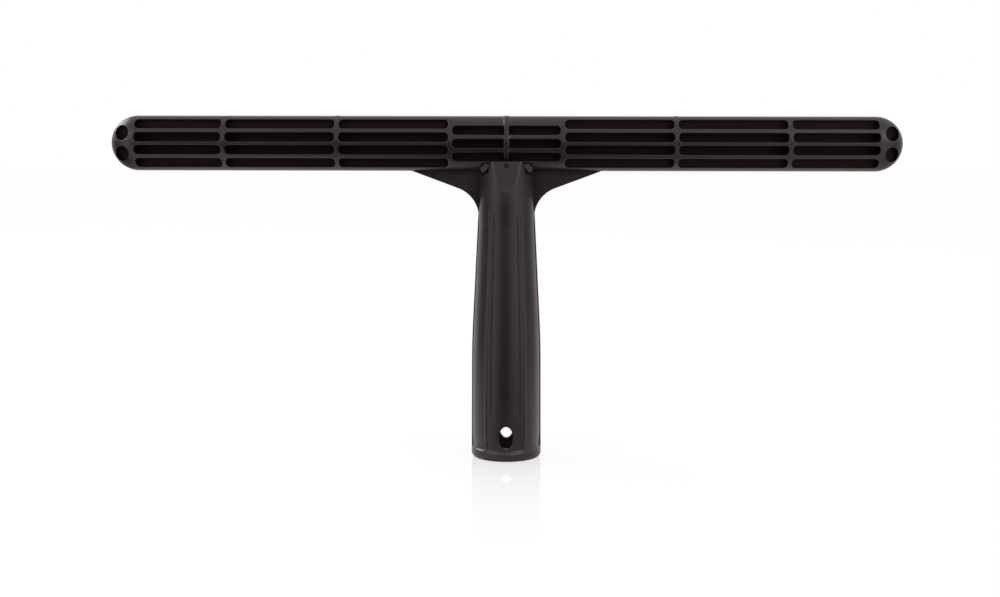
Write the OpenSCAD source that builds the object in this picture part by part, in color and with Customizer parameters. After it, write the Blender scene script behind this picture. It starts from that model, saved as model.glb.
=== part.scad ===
// Window scrubber: the fixed T-bar that carries a washing sleeve, with the sleeve off.
// The handle stands on its open end at z = 0. The bar runs along X and its faces look along Y.
// The bar is two slotted half shells on either side of a core plate. The plate's two wings brace
// the handle, whose forked neck straddles the plate. Cross pins hold the layers together.

/* [Bar] */
// Length of the bar from end to end
bar_length = 350; // [310:1:450]
// Height of the bar
bar_height = 24.2; // [23.6:0.1:28]
// Depth of the bar from front face to back face
bar_depth = 19; // [17:0.1:22]
// Radius of the top and bottom edges of the bar's oval section
bar_edge_radius = 6; // [4.5:0.1:7]
// Height of the bar's underside above the foot of the handle
bar_underside = 128.4; // [115:0.1:170]
// Thickness of the core plate
plate_thickness = 2.4; // [1.6:0.1:3.2]

/* [Slots] */
// Distance from one post between slots to the next
post_pitch = 49.8; // [40:0.1:54]
// Width of the posts between slots
post_width = 2.2; // [1.8:0.1:3.5]
// Length of solid bar beyond the last slot
end_solid = 11.7; // [11:0.1:16]
// Height of the two middle rows of slots
middle_slot_height = 4.1; // [3.4:0.05:4.4]
// Height of the top and bottom rows of slots
outer_slot_height = 3.7; // [3.2:0.05:4.2]
// Height of the rib along the middle of the bar
middle_rib = 1.45; // [1.2:0.05:2]
// Height of the ribs above and below the middle rows
row_rib = 1.9; // [1.4:0.05:2.3]
// Height of the slots over the handle
centre_slot_height = 3.95; // [3.2:0.05:4.6]
// Height of the ribs between the slots over the handle
centre_rib = 1.84; // [1.4:0.02:2.6]
// Radius of the slot corners
slot_corner = 1.5; // [0.6:0.05:1.55]
// Width of the upright divider over the handle
divider_width = 2.2; // [1.8:0.1:3.4]
// Height that the bead on the divider stands off the bar
bead_rise = 0.3; // [0.1:0.05:0.6]

/* [End holes] */
// Diameter of the round holes at the bar's ends
end_hole_d = 6.5; // [5:0.1:7]
// Distance between the two holes of an end
end_hole_pitch = 9.05; // [8:0.05:9.8]
// Distance from the bar's end to the middle of its holes
end_hole_inset = 6.1; // [5.8:0.1:6.8]

/* [Wings] */
// Distance from the middle of the bar to the tip of a wing
wing_reach = 41.3; // [34:0.1:60]
// Slope of a wing's straight lower edge in degrees
wing_slope = 19.9; // [12:0.1:24]
// Radius between a wing's lower edge and the handle
wing_radius = 14; // [10:0.1:15]

/* [Handle] */
// Diameter of the handle at its foot
foot_d = 31.2; // [30:0.1:36]
// Diameter of the handle where its taper starts
shoulder_d = 30.8; // [30:0.1:32]
// Height at which the handle's taper starts
shoulder_z = 52.5; // [45:0.5:60]
// Diameter of the handle at its neck
neck_d = 25.1; // [24:0.1:27]
// Distance from the bar's underside down to the neck
neck_drop = 18.9; // [15:0.1:24]
// Radius of the rounded foot
foot_round = 2.2; // [1:0.1:2.3]
// Diameter of the socket for the pole
socket_d = 24; // [22:0.1:25]
// Depth of the straight part of the socket
socket_depth = 50; // [35:1:60]
// Diameter of the top of the hollow above the socket
hollow_top_d = 17; // [10:0.5:18]
// Solid height between the hollow and the core plate
crown_height = 6; // [4:0.5:12]
// Width of the lead-in at the mouth of the socket
lead_in = 0.4; // [0.2:0.1:0.6]

/* [Grip panels] */
// Depth of the grip panels
panel_depth = 0.5; // [0.2:0.05:0.8]
// Height of the collar below the panels
collar_height = 3.9; // [3:0.1:8]
// Height of the ramp from the collar into a panel
ramp_height = 1.3; // [0.6:0.1:3]
// Distance from the bar's underside down to the top of the panels
panel_drop = 17.5; // [12:0.5:30]
// Length over which the panels fade out at the top
panel_fade = 22; // [8:1:30]
// Angle of the front ridges from the middle of the front, in degrees
ridge_angle = 35.5; // [28:0.5:42]
// Width of a ridge
ridge_width = 1; // [0.6:0.1:2]

/* [Hanging hole] */
// Width of the oval hole through the handle
hanging_width = 6.5; // [5:0.1:8]
// Height of the oval hole through the handle
hanging_height = 9.5; // [8.2:0.1:14]
// Height of the hole's middle above the foot
hanging_z = 11.3; // [10.8:0.1:20]

/* [Neck] */
// Half depth of the neck at its top
neck_top_depth = 8.6; // [7.5:0.1:9.4]
// Half width of the neck at its top
neck_top_half = 7.3; // [6.5:0.1:9]
// Distance from the bar's underside down to the foot of the neck's flats
flat_drop = 9.9; // [7:0.1:14]
// Distance from the bar's underside down to the foot of the neck's side flats
side_drop = 17.4; // [13:0.1:18]
// Gap between the neck and the shells' notches
notch_gap = 0.35; // [0.15:0.05:0.6]
// Gap on each side of the core plate in the fork of the neck
fork_gap = 0.05; // [0.02:0.01:0.15]

/* [Lugs] */
// Radius of the lugs beside the neck
lug_radius = 1.25; // [0.8:0.05:1.6]
// Distance from the neck's top corner out to the foot of a lug
lug_out = 3.9; // [2.5:0.1:5]
// Distance from the neck's top down to the top of a lug
lug_drop = 0.5; // [0.2:0.1:1.2]
// Distance that a lug hangs below the bar
lug_hang = 0.75; // [0.2:0.05:1.2]
// Distance from the bar's middle plane to the face of a lug
lug_face = 6.6; // [5:0.1:7.5]

/* [Pins] */
// Diameter of the cross pins in the bar
pin_d = 1.3; // [1:0.05:1.4]
// Distance that the pins stop short of the bar's faces
pin_recess = 0.3; // [0.1:0.05:0.8]
// Diameter of the pin through the neck
neck_pin_d = 1.6; // [1.2:0.05:2]
// Distance from the neck's top to the middle of its pin
neck_pin_drop = 1.75; // [1.5:0.05:3]
// Diameter of the boss round the middle pin
boss_d = 2.9; // [2.2:0.1:3.8]
// Clearance on a pin's diameter in its hole
pin_clearance = 0.04; // [0.02:0.01:0.1]

/* [Hidden] */
$fn = 96;
// Overlap that a cut needs to leave no skin behind
over = 1;

// Oval section: two face arcs and two edge arcs that meet smoothly
half_height = bar_height / 2;
half_depth = bar_depth / 2;
bar_mid = bar_underside + half_height;
edge_centre = half_height - bar_edge_radius;
face_radius = (pow(half_depth, 2) + pow(edge_centre, 2) - pow(bar_edge_radius, 2))
    / (2 * (half_depth - bar_edge_radius));
end_centre = bar_length / 2 - half_height;
half_plate = plate_thickness / 2;

// Rows of slots, measured from the middle of the bar
middle_row = (middle_rib + middle_slot_height) / 2;
outer_row = middle_rib / 2 + middle_slot_height + row_rib + outer_slot_height / 2;
centre_row_pitch = centre_slot_height + centre_rib;
last_slot_end = bar_length / 2 - end_solid;
shortest_slot = 3 * middle_slot_height;
// Number of slots in a row on one side of the handle
side_slots = 1 + floor((last_slot_end - shortest_slot - post_pitch / 2) / post_pitch);

// Handle's taper, as radius lost for each unit of height
neck_z = bar_underside - neck_drop;
taper_slope = (shoulder_d - neck_d) / 2 / (neck_z - shoulder_z);

// Wing's lower arc touches both its straight edge and the side of the handle
// How far the wing's arc bites into the handle's side
root_bite = 0.25;
arc_x = neck_d / 2 - root_bite + wing_radius;
arc_z = bar_underside + ((arc_x - wing_reach) * sin(wing_slope) - wing_radius) / cos(wing_slope);
arc_start = [arc_x - wing_radius * sin(wing_slope), arc_z + wing_radius * cos(wing_slope)];
// Height from the arc's middle to the foot of the tang
tang_lap = 2.1;
tang_foot = arc_z + tang_lap;
hollow_top = tang_foot - fork_gap - crown_height;

// Neck
neck_top = bar_mid - centre_row_pitch - centre_slot_height / 2;
flat_foot = bar_underside - flat_drop;
side_foot = bar_underside - side_drop;
flat_slope = (handle_radius(flat_foot) - neck_top_depth) / (neck_top - flat_foot);
side_slope = (handle_radius(side_foot) - neck_top_half) / (neck_top - side_foot);
panel_top = bar_underside - panel_drop;
// Gap between the neck's top and the divider that stands over it
bead_gap = 0.1;
neck_pin_z = neck_top - neck_pin_drop;
// The neck's pin stands a little off the neck's flats
neck_pin_proud = 0.15;
neck_pin_half = flat_depth(neck_pin_z) + neck_pin_proud;
pin_half = half_depth - pin_recess;
// The side pins go through the second post on each side
pin_x = 1.5 * post_pitch;

// Outer radius of the handle at height z
function handle_radius(z) =
    z < shoulder_z
    ? (foot_d + (shoulder_d - foot_d) * z / shoulder_z) / 2
    : shoulder_d / 2 - (z - shoulder_z) * taper_slope;
// Distance of the neck's front flat from the middle plane at height z
function flat_depth(z) = neck_top_depth + (neck_top - z) * flat_slope;
// Distance of the neck's side flat from the middle at height z
function side_half(z) = neck_top_half + (neck_top - z) * side_slope;

// Turns a drawing of the front, X across and Y up, to face the front, as deep as it is told
module upright(depth) {
    rotate([90, 0, 0])
        linear_extrude(height = depth, center = true)
            children();
}

// Section of the bar, its height along X and its depth along Y, grown by grow all round
module bar_section(grow = 0) {
    join_x = edge_centre * (face_radius + grow) / (face_radius - bar_edge_radius);
    intersection() {
        translate([0, face_radius - half_depth])
            circle(r = face_radius + grow);
        translate([0, half_depth - face_radius])
            circle(r = face_radius + grow);
        square([2 * join_x, 2 * bar_depth], center = true);
    }
    for (side = [-1, 1])
        translate([side * edge_centre, 0])
            circle(r = bar_edge_radius + grow);
}

// Whole bar without slots: the section carried along X and turned round at both ends
module bar_solid() {
    translate([0, 0, bar_mid]) {
        rotate([0, 90, 0])
            linear_extrude(height = 2 * end_centre, center = true)
                bar_section();
        for (side = [-1, 1])
            translate([side * end_centre, 0, 0])
                rotate([90, 0, 0])
                    rotate_extrude()
                        intersection() {
                            bar_section();
                            translate([0, -bar_depth])
                                square([bar_height, 2 * bar_depth]);
                        }
    }
}

// Slot with round corners between two places along the bar
module slot(from, to, height) {
    inner = height - 2 * slot_corner;
    translate([from + slot_corner, -height / 2])
        square([to - from - 2 * slot_corner, height]);
    translate([from, -inner / 2])
        square([to - from, inner]);
    for (x = [from + slot_corner, to - slot_corner], y = [-inner / 2, inner / 2])
        translate([x, y])
            circle(r = slot_corner);
}

// Slots and holes on one side of the handle, drawn from the middle of the bar
module side_cuts() {
    for (i = [1 : side_slots]) {
        from = (i - 0.5) * post_pitch + post_width / 2;
        to = i < side_slots ? (i + 0.5) * post_pitch - post_width / 2 : last_slot_end;
        for (row = [-1, 1]) {
            translate([0, row * middle_row])
                slot(from, to, middle_slot_height);
            translate([0, row * outer_row])
                slot(from, to, outer_slot_height);
        }
    }
    for (row = [-1, 0, 1])
        translate([0, row * centre_row_pitch]) {
            slot(divider_width / 2, post_pitch / 2 - post_width / 2, centre_slot_height);
            translate([divider_width / 2, -centre_slot_height / 2])
                square([post_pitch / 4, centre_slot_height]);
        }
    for (row = [-1, 1])
        translate([bar_length / 2 - end_hole_inset, row * end_hole_pitch / 2])
            circle(d = end_hole_d);
}

// Notch that the neck fills, from below the lugs to the foot of the lowest slots
module neck_notch() {
    foot = bar_underside - lug_hang - over;
    top = neck_top + bead_gap;
    polygon([
        [-side_half(top) - notch_gap, top],
        [-side_half(foot) - notch_gap, foot],
        [side_half(foot) + notch_gap, foot],
        [side_half(top) + notch_gap, top]
    ]);
}

// Round lug that slopes out and down beside the neck
module lug() {
    top = [neck_top_half + notch_gap + lug_radius, neck_top - lug_drop - lug_radius];
    foot = [neck_top_half + lug_out, bar_underside - lug_hang + lug_radius];
    span = foot - top;
    for (end = [top, foot])
        translate(end)
            circle(r = lug_radius);
    translate(top)
        rotate([0, 0, atan2(span[1], span[0])])
            translate([0, -lug_radius])
                square([norm(span), 2 * lug_radius]);
}

// Cross pin holes through the bar's layers
module pin_holes() {
    for (side = [-1, 0, 1])
        translate([side * pin_x, 0, bar_mid])
            rotate([90, 0, 0])
                cylinder(d = pin_d + pin_clearance, h = 2 * bar_depth, center = true);
}

// Hole for the pin through the neck
module neck_pin_hole() {
    translate([0, 0, neck_pin_z])
        rotate([90, 0, 0])
            cylinder(d = neck_pin_d + pin_clearance, h = 2 * bar_depth, center = true);
}

// Bead that runs over the divider, from the neck up and over the bar's top edge
module bead() {
    intersection() {
        translate([0, 0, bar_mid])
            rotate([0, 90, 0])
                linear_extrude(height = divider_width, center = true)
                    bar_section(bead_rise);
        translate([-divider_width, -bar_depth, neck_top + bead_gap])
            cube([2 * divider_width, bar_depth - half_plate, bar_height + over]);
    }
}

// Front half of the bar, with its slots open to the core plate
module half_bar() {
    difference() {
        union() {
            difference() {
                intersection() {
                    bar_solid();
                    translate([-bar_length, -bar_depth, bar_underside - over])
                        cube([2 * bar_length, bar_depth - half_plate, bar_height + 2 * over]);
                }
                translate([0, 0, bar_mid])
                    upright(2 * bar_depth) {
                        side_cuts();
                        mirror([1, 0])
                            side_cuts();
                    }
            }
            bead();
            intersection() {
                bar_solid();
                translate([0, -half_plate, bar_mid])
                    rotate([90, 0, 0])
                        cylinder(d = boss_d, h = bar_depth);
            }
            for (side = [0, 1])
                mirror([side, 0, 0])
                    translate([0, -(lug_face + half_plate) / 2, 0])
                        upright(lug_face - half_plate)
                            lug();
        }
        upright(2 * bar_depth)
            neck_notch();
        pin_holes();
    }
}

// Outer shape of the handle, turned, from its rounded foot to the neck's top
module handle_turned() {
    foot_edge = foot_d / 2 - foot_round;
    rotate_extrude() {
        polygon([
            [0, 0],
            [foot_edge, 0],
            [foot_edge, foot_round],
            [handle_radius(foot_round), foot_round],
            [handle_radius(shoulder_z), shoulder_z],
            [handle_radius(neck_top), neck_top],
            [0, neck_top]
        ]);
        intersection() {
            translate([handle_radius(foot_round) - foot_round, foot_round])
                circle(r = foot_round);
            square([foot_d, foot_round]);
        }
    }
}

// Inside of the handle, turned: lead-in, socket and the narrowing hollow above it
module handle_hollow() {
    socket_r = socket_d / 2;
    rotate_extrude()
        polygon([
            [0, -over],
            [socket_r + lead_in + over, -over],
            [socket_r, lead_in],
            [socket_r, socket_depth],
            [hollow_top_d / 2, hollow_top],
            [0, hollow_top]
        ]);
}

// Cutter of one grip panel, from one angle to another
module panel_cut(from, to) {
    ramp_top = collar_height + ramp_height;
    fade_start = panel_top - panel_fade;
    rotate([0, 0, from])
        rotate_extrude(angle = to - from)
            polygon([
                [handle_radius(collar_height), collar_height],
                [handle_radius(ramp_top) - panel_depth, ramp_top],
                [handle_radius(shoulder_z) - panel_depth, shoulder_z],
                [handle_radius(fade_start) - panel_depth, fade_start],
                [handle_radius(panel_top), panel_top],
                [foot_d, panel_top],
                [foot_d, collar_height]
            ]);
}

// All six grip panels, the same in front and behind
module panel_cuts() {
    ridge_half = asin(ridge_width / foot_d);
    for (turn = [0, 180])
        rotate([0, 0, turn - 90]) {
            panel_cut(-ridge_angle + ridge_half, ridge_angle - ridge_half);
            panel_cut(ridge_angle + ridge_half, 90 - ridge_half);
            panel_cut(-90 + ridge_half, -ridge_angle - ridge_half);
        }
}

// Cuts that shape the neck: sloped flats front and back, and narrowing sides
module neck_cuts() {
    above = neck_top + over;
    for (side = [0, 1])
        mirror([0, side, 0])
            rotate([90, 0, 90])
                linear_extrude(height = 2 * foot_d, center = true)
                    polygon([
                        [flat_depth(flat_foot), flat_foot],
                        [foot_d, flat_foot],
                        [foot_d, above],
                        [flat_depth(above), above]
                    ]);
    for (side = [0, 1])
        mirror([side, 0, 0])
            upright(2 * foot_d)
                polygon([
                    [side_half(side_foot), side_foot],
                    [foot_d, side_foot],
                    [foot_d, above],
                    [side_half(above), above]
                ]);
    slot_half = half_plate + fork_gap;
    translate([-foot_d, -slot_half, tang_foot - fork_gap])
        cube([2 * foot_d, 2 * slot_half, bar_underside]);
}

// Oval hanging hole through both walls of the handle
module hanging_hole() {
    rise = (hanging_height - hanging_width) / 2;
    translate([0, 0, hanging_z])
        upright(2 * foot_d) {
            square([hanging_width, 2 * rise], center = true);
            for (side = [-1, 1])
                translate([0, side * rise])
                    circle(d = hanging_width);
        }
}

// Drawing of both wings and the tang between them
module wing_outline() {
    difference() {
        polygon([
            [-wing_reach, bar_underside],
            [-half_height, bar_mid],
            [half_height, bar_mid],
            [wing_reach, bar_underside],
            arc_start,
            [arc_x - wing_radius, tang_foot],
            [wing_radius - arc_x, tang_foot],
            [-arc_start[0], arc_start[1]]
        ]);
        for (side = [-1, 1])
            translate([side * arc_x, arc_z])
                circle(r = wing_radius);
    }
}

module handle() {
    color("#3b3637")
        difference() {
            handle_turned();
            handle_hollow();
            panel_cuts();
            neck_cuts();
            hanging_hole();
            neck_pin_hole();
        }
}

module core_plate() {
    color("#2c2829")
        difference() {
            union() {
                intersection() {
                    bar_solid();
                    translate([0, 0, bar_mid])
                        cube([2 * bar_length, plate_thickness, 2 * bar_height], center = true);
                }
                upright(plate_thickness)
                    wing_outline();
            }
            pin_holes();
            neck_pin_hole();
        }
}

module front_shell() {
    color("#413b3d")
        half_bar();
}

module back_shell() {
    color("#413b3d")
        mirror([0, 1, 0])
            half_bar();
}

// Pin across the bar at a place along it
module cross_pin(x) {
    color("#1d1a1b")
        translate([x, 0, bar_mid])
            rotate([90, 0, 0])
                cylinder(d = pin_d, h = 2 * pin_half, center = true);
}

module left_pin() {
    cross_pin(-pin_x);
}

module centre_pin() {
    cross_pin(0);
}

module right_pin() {
    cross_pin(pin_x);
}

module neck_pin() {
    color("#1d1a1b")
        translate([0, 0, neck_pin_z])
            rotate([90, 0, 0])
                cylinder(d = neck_pin_d, h = 2 * neck_pin_half, center = true);
}

handle();
core_plate();
front_shell();
back_shell();
left_pin();
centre_pin();
right_pin();
neck_pin();
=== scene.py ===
import math

import bmesh
import bpy
import numpy as np
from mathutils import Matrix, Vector, geometry, noise


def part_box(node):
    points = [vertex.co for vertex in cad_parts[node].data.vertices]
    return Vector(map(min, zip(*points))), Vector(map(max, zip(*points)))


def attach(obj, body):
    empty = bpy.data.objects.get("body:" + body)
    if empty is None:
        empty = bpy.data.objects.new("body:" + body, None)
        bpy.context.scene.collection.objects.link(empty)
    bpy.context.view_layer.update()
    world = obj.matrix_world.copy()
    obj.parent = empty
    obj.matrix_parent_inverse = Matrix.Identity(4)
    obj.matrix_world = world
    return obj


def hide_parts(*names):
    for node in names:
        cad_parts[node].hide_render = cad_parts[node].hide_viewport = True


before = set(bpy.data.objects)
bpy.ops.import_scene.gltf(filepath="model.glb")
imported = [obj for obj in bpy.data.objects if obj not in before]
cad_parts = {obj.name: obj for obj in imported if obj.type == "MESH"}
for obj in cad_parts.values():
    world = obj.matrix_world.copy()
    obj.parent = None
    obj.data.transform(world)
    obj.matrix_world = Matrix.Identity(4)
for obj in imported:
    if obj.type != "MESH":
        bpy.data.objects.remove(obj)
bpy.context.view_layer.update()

# Window scrubber: a slotted oval bar on a hollow tapered handle.
# Everything below is worked out in millimetres and turned into metres when a mesh is made.
mm = 0.001
sharpAngle = math.radians(38)


def boxInMm(node):
    low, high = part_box(node)
    return low / mm, high / mm


plateLow, plateHigh = boxInMm("core_plate")
shellLow = boxInMm("front_shell")[0]
handleHigh = boxInMm("handle")[1]
print("frame loaded:", len(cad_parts), "nodes")


# Building meshes ring by ring

def newShape():
    return {"points": [], "faces": [], "wearAndHighlight": [], "shade": {}, "deep": set()}


def addRing(shape, points, wearAndHighlight=0.0):
    # wear is how rubbed the points are, and so how much paler they are painted, part wear and part painted
    # highlight: one value, or one for each point
    first = len(shape["points"])
    shape["points"].extend(tuple(float(c) for c in p) for p in points)
    shape["wearAndHighlight"].extend(np.broadcast_to(wearAndHighlight, len(points)).tolist())
    return list(range(first, first + len(points)))


def bridge(shape, ringA, ringB, deep=False):
    # deep faces take the piece's second material: in the bar a darker copy of the plastic as painted shade in
    # the pockets, in the handle a paler copy as painted light in its bore
    count = len(ringA)
    if deep:
        shape["deep"].update(range(len(shape["faces"]), len(shape["faces"]) + count))
    for i in range(count):
        j = (i + 1) % count
        shape["faces"].append((ringA[i], ringA[j], ringB[j], ringB[i]))


def addBand(shape, ring, points, wearAndHighlight=0.0, deep=False):
    # a new ring, joined to the last one
    nextRing = addRing(shape, points, wearAndHighlight)
    bridge(shape, ring, nextRing, deep)
    return nextRing


def tubeShape(rings, wearAndHighlight=0.0):
    # rings joined one after another and closed at both ends
    shape = newShape()
    made = [addRing(shape, ring, wearAndHighlight) for ring in rings]
    for a, b in zip(made, made[1:]):
        bridge(shape, a, b)
    shape["faces"] += [tuple(made[0]), tuple(made[-1])]
    return shape


def roundedStep(radius, turn):
    # how far in and how far down a rounded edge stands, a turn from 0 to 90 degrees along it
    a = math.radians(turn)
    return radius * (1 - math.cos(a)), radius * (1 - math.sin(a))


def smoothStep(low, high, value):
    t = np.clip((value - low) / (high - low), 0.0, 1.0)
    return t * t * (3 - 2 * t)


def smoothLeast(a, b, blend):
    h = np.clip(0.5 + 0.5 * (b - a) / blend, 0.0, 1.0)
    return b * (1 - h) + a * h - blend * h * (1 - h)


def insideLoop(points, loop):
    # even-odd rule, for many points at once
    x, y = points[:, 0], points[:, 1]
    inside = np.zeros(len(points), bool)
    for (x1, y1), (x2, y2) in zip(loop, np.roll(loop, -1, axis=0)):
        if y1 != y2:
            crosses = (y1 > y) != (y2 > y)
            inside ^= crosses & (x < (x2 - x1) * (y - y1) / (y2 - y1) + x1)
    return inside


def insideOutline(points, outline):
    # the same, but only points within the outline's box are worked out
    loop = np.array(outline)
    near = ((points > loop.min(axis=0)) & (points < loop.max(axis=0))).all(axis=1)
    near[near] = insideLoop(points[near], loop)
    return near


def fillBetween(outer, holes, inner=()):
    # triangles between an outer loop and its holes; the points keep their order
    loops = [outer, *holes]
    flat = [p for loop in loops for p in loop] + list(inner)
    edges = []
    first = 0
    for loop in loops:
        n = len(loop)
        edges += [(first + i, first + (i + 1) % n) for i in range(n)]
        first += n
    made = geometry.delaunay_2d_cdt([Vector(p) for p in flat], edges, [], 1, 1e-6)
    corners = np.array([tuple(p) for p in made[0]])
    source = [s[0] for s in made[3]]
    faces = np.array(made[2])
    middles = corners[faces].mean(axis=1)
    keep = np.ones(len(faces), bool)
    for hole in holes:
        keep &= ~insideOutline(middles, hole)
    return [tuple(source[i] for i in face) for face in faces[keep]]


def makePiece(name, shape, material, nodes=(), deepMaterial=None):
    mesh = bpy.data.meshes.new(name)
    mesh.from_pydata([Vector(p) * mm for p in shape["points"]], [], shape["faces"])
    deep = [int(i in shape["deep"]) for i in range(len(shape["faces"]))]
    mesh.polygons.foreach_set("material_index", deep)
    shade = [shape["shade"].get(i, 0.0) for i in range(len(shape["points"]))]
    for key, values in (("wearAndHighlight", shape["wearAndHighlight"]), ("shade", shade)):
        made = mesh.attributes.new(key, "FLOAT", "POINT")
        made.data.foreach_set("value", np.array(values, np.float32))
    build = bmesh.new()
    build.from_mesh(mesh)
    bmesh.ops.remove_doubles(build, verts=build.verts, dist=0.0005 * mm)
    bmesh.ops.recalc_face_normals(build, faces=build.faces)
    for face in build.faces:
        face.smooth = True
    build.to_mesh(mesh)
    build.free()
    mesh.materials.append(material)
    if deepMaterial:
        mesh.materials.append(deepMaterial)
    piece = bpy.data.objects.new(name, mesh)
    bpy.context.scene.collection.objects.link(piece)
    if nodes:
        mesh.set_sharp_from_angle(angle=sharpAngle)
        piece.modifiers.new("evenShading", "WEIGHTED_NORMAL").keep_sharp = True
        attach(piece, "root")
        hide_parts(*nodes)
    return piece


def cutOrJoin(piece, tool, operation):
    change = piece.modifiers.new("change", "BOOLEAN")
    change.operation = operation
    change.solver = "EXACT"
    change.object = tool
    bpy.context.view_layer.objects.active = piece
    while piece.modifiers[0] != change:
        bpy.ops.object.modifier_move_up(modifier=change.name)
    bpy.ops.object.modifier_apply(modifier=change.name)
    bpy.data.objects.remove(tool)
    for face in piece.data.polygons:
        face.use_smooth = True
    piece.data.set_sharp_from_angle(angle=sharpAngle)


# Shader nodes

def feed(tree, socket, value):
    # an input takes another node's output or a fixed value
    if isinstance(value, bpy.types.NodeSocket):
        tree.links.new(value, socket)
    else:
        socket.default_value = value


def addNode(tree, kind, **settings):
    # a setting is one of the node's inputs or one of its properties
    node = tree.nodes.new(kind)
    for key, value in settings.items():
        if key in node.inputs:
            feed(tree, node.inputs[key], value)
        else:
            setattr(node, key, value)
    return node


def mathNode(tree, operation, *values, **settings):
    node = addNode(tree, "ShaderNodeMath", operation=operation, **settings)
    for socket, value in zip(node.inputs, values):
        feed(tree, socket, value)
    return node.outputs[0]


def rangeNode(tree, value, span, result=(0.0, 1.0), kind="SMOOTHSTEP"):
    # turns a span of values into a span of results
    node = addNode(tree, "ShaderNodeMapRange", interpolation_type=kind, Value=value)
    for key, limit in zip(("From Min", "From Max", "To Min", "To Max"), (*span, *result)):
        node.inputs[key].default_value = limit
    return node.outputs["Result"]


def mixColours(tree, share, first, second, **settings):
    return addNode(tree, "ShaderNodeMix", data_type="RGBA", **settings,
                   Factor=share, A=first, B=(*second, 1)).outputs["Result"]


def mixShaders(tree, share, first, second):
    node = addNode(tree, "ShaderNodeMixShader")
    for socket, value in zip(node.inputs, (share, first, second)):
        feed(tree, socket, value)
    return node.outputs[0]


# Black satin plastic

def blackPlastic(name, look):
    material = bpy.data.materials.new(name)
    material.use_nodes = True
    tree = material.node_tree
    shader = tree.nodes["Principled BSDF"]
    shader.inputs["IOR"].default_value = look["ior"]
    shader.inputs["Specular IOR Level"].default_value = look["sheen"]
    shader.inputs["Specular Tint"].default_value = (*look["sheenTint"], 1)
    place = addNode(tree, "ShaderNodeTexCoord").outputs["Object"]
    wornAndHighlit = addNode(tree, "ShaderNodeAttribute", attribute_name="wearAndHighlight").outputs["Fac"]
    paintedShade = addNode(tree, "ShaderNodeAttribute", attribute_name="shade").outputs["Fac"]

    def clouds(scale, detail, roughness=0.5):
        return addNode(tree, "ShaderNodeTexNoise", Vector=place, Scale=scale, Detail=detail,
                       Roughness=roughness).outputs["Fac"]

    # cloudy tint, as the moulded plastic has where it cooled unevenly
    tint = addNode(tree, "ShaderNodeValToRGB", Fac=clouds(look["cloudScale"], 4.0, 0.55))
    dark, light = tint.color_ramp.elements
    dark.position, light.position = look["cloudSpan"]
    dark.color = (*look["darkColour"], 1)
    light.color = (*look["lightColour"], 1)

    # edges that the sleeve has rubbed are paler, in patches: part wear, part a painted highlight along rims,
    # ridges, ledges and the lugs
    rubbedAndHighlit = mathNode(tree, "MULTIPLY", wornAndHighlit, clouds(look["wearAndHighlightScale"], 3.0))
    colour = mixColours(tree, rubbedAndHighlit, tint.outputs["Color"], look["wornAndHighlightColour"])

    # sparse pale specks of dust
    cells = addNode(tree, "ShaderNodeTexVoronoi", Vector=place, Scale=look["speckScale"], Randomness=1.0)
    speckSpan = (look["speckSize"], look["speckSize"] * look["speckCore"])
    speck = rangeNode(tree, cells.outputs["Distance"], speckSpan, (0.0, look["speckStrength"]), "LINEAR")
    colour = mixColours(tree, speck, colour, look["dustColour"])

    # painted shade: the colour is darkened where the shade attribute is set, under the bar's lip, beside the
    # neck and on the neck's sides
    colour = mixColours(tree, paintedShade, colour, look["paintedShadeColour"], blend_type="MULTIPLY")
    tree.links.new(colour, shader.inputs["Base Color"])

    # sheen changes softly over the surface: rubbed edges are smoother, places with painted shade duller
    spread = look["roughnessSpread"]
    roughSpan = (look["roughness"] - spread, look["roughness"] + spread)
    rough = rangeNode(tree, clouds(look["smearScale"], 5.0, 0.6), look["smearSpan"], roughSpan, "LINEAR")
    rough = mathNode(tree, "MULTIPLY_ADD", wornAndHighlit, -look["wornPolish"], rough)
    rough = mathNode(tree, "MULTIPLY_ADD", paintedShade, look["paintedShadeRoughness"], rough)
    tree.links.new(rough, shader.inputs["Roughness"])

    # fine moulded grain over a slow unevenness
    wave = addNode(tree, "ShaderNodeBump", Strength=1.0, Distance=look["waveDepth"],
                   Height=clouds(look["waveScale"], 2.0))
    grain = addNode(tree, "ShaderNodeBump", Strength=1.0, Distance=look["grainDepth"],
                    Height=clouds(look["grainScale"], 3.0, 0.6), Normal=wave.outputs["Normal"])
    tree.links.new(grain.outputs["Normal"], shader.inputs["Normal"])
    return material


plasticLook = {
    "ior": 1.5,
    "sheen": 0.5,
    "sheenTint": (1.0, 0.86, 0.91),
    "darkColour": (0.0044, 0.0035, 0.0037),
    "lightColour": (0.0068, 0.0054, 0.0057),
    "cloudScale": 60.0,
    "cloudSpan": (0.3, 0.75),
    "wornAndHighlightColour": (0.035, 0.031, 0.032),
    "wearAndHighlightScale": 500.0,
    "dustColour": (0.12, 0.11, 0.11),
    "speckScale": 240.0,
    "speckSize": 0.06,
    "speckCore": 0.4,  # this share of a speck is at full strength
    "speckStrength": 0.5,
    "paintedShadeColour": (0.45, 0.38, 0.36),
    "roughness": 0.34,
    "roughnessSpread": 0.035,
    "wornPolish": 0.1,
    "paintedShadeRoughness": 0.5,
    "smearScale": 90.0,
    "smearSpan": (0.3, 0.7),
    "grainScale": 2600.0,
    "grainDepth": 0.000035,
    "waveScale": 160.0,
    "waveDepth": 0.00006,
}
barPlastic = blackPlastic("barPlastic", plasticLook)
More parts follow.
